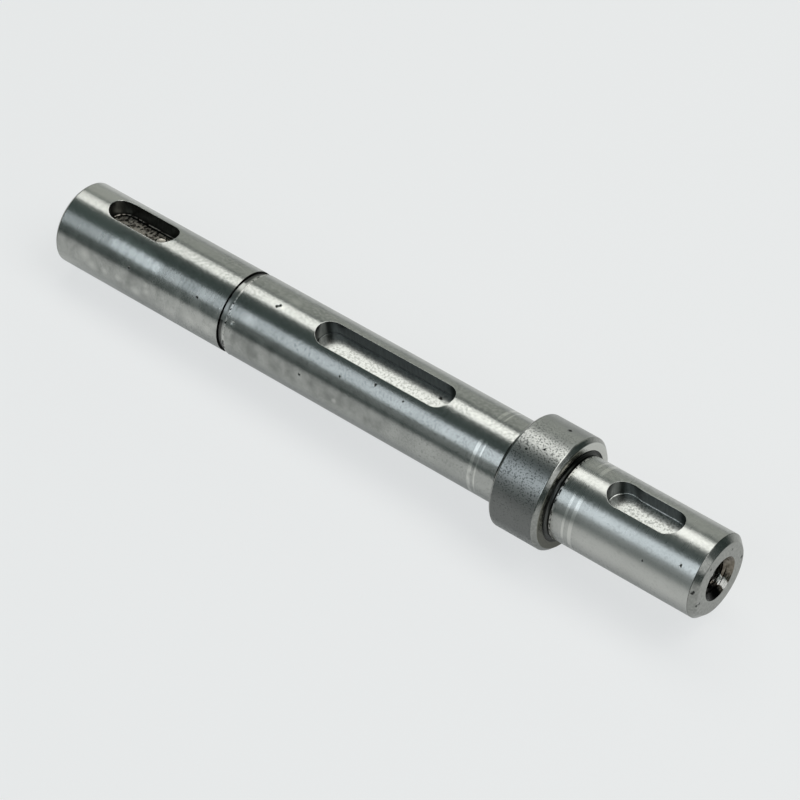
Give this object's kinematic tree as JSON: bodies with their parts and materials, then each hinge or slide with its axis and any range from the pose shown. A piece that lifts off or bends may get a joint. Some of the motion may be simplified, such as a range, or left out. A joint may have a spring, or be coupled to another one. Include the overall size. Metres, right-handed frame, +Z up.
{
  "type": "motor shaft",
  "caption": "One-piece stepped steel output shaft with a collar, a retaining-ring groove, round-ended keyways and tapped ends; carries a keyed hub and couplings.",
  "frame": {"origin": "middle of the resting shaft's box, on the surface it lies on", "axes": "+X along the shaft towards the short, chamfered right end, whose axis rises 1.61 degrees because the collar props it up; +Z up, with the keyways on top, as the shaft comes to rest when it has rolled"},
  "size_m": [0.125, 0.019, 0.0192],
  "materials": {
    "ground_steel": "ground journals, rougher turned collar and milled keyways, bare steel"
  },
  "bodies": {
    "root": {"shaft": "ground_steel"}
  },
  "joints": []
}
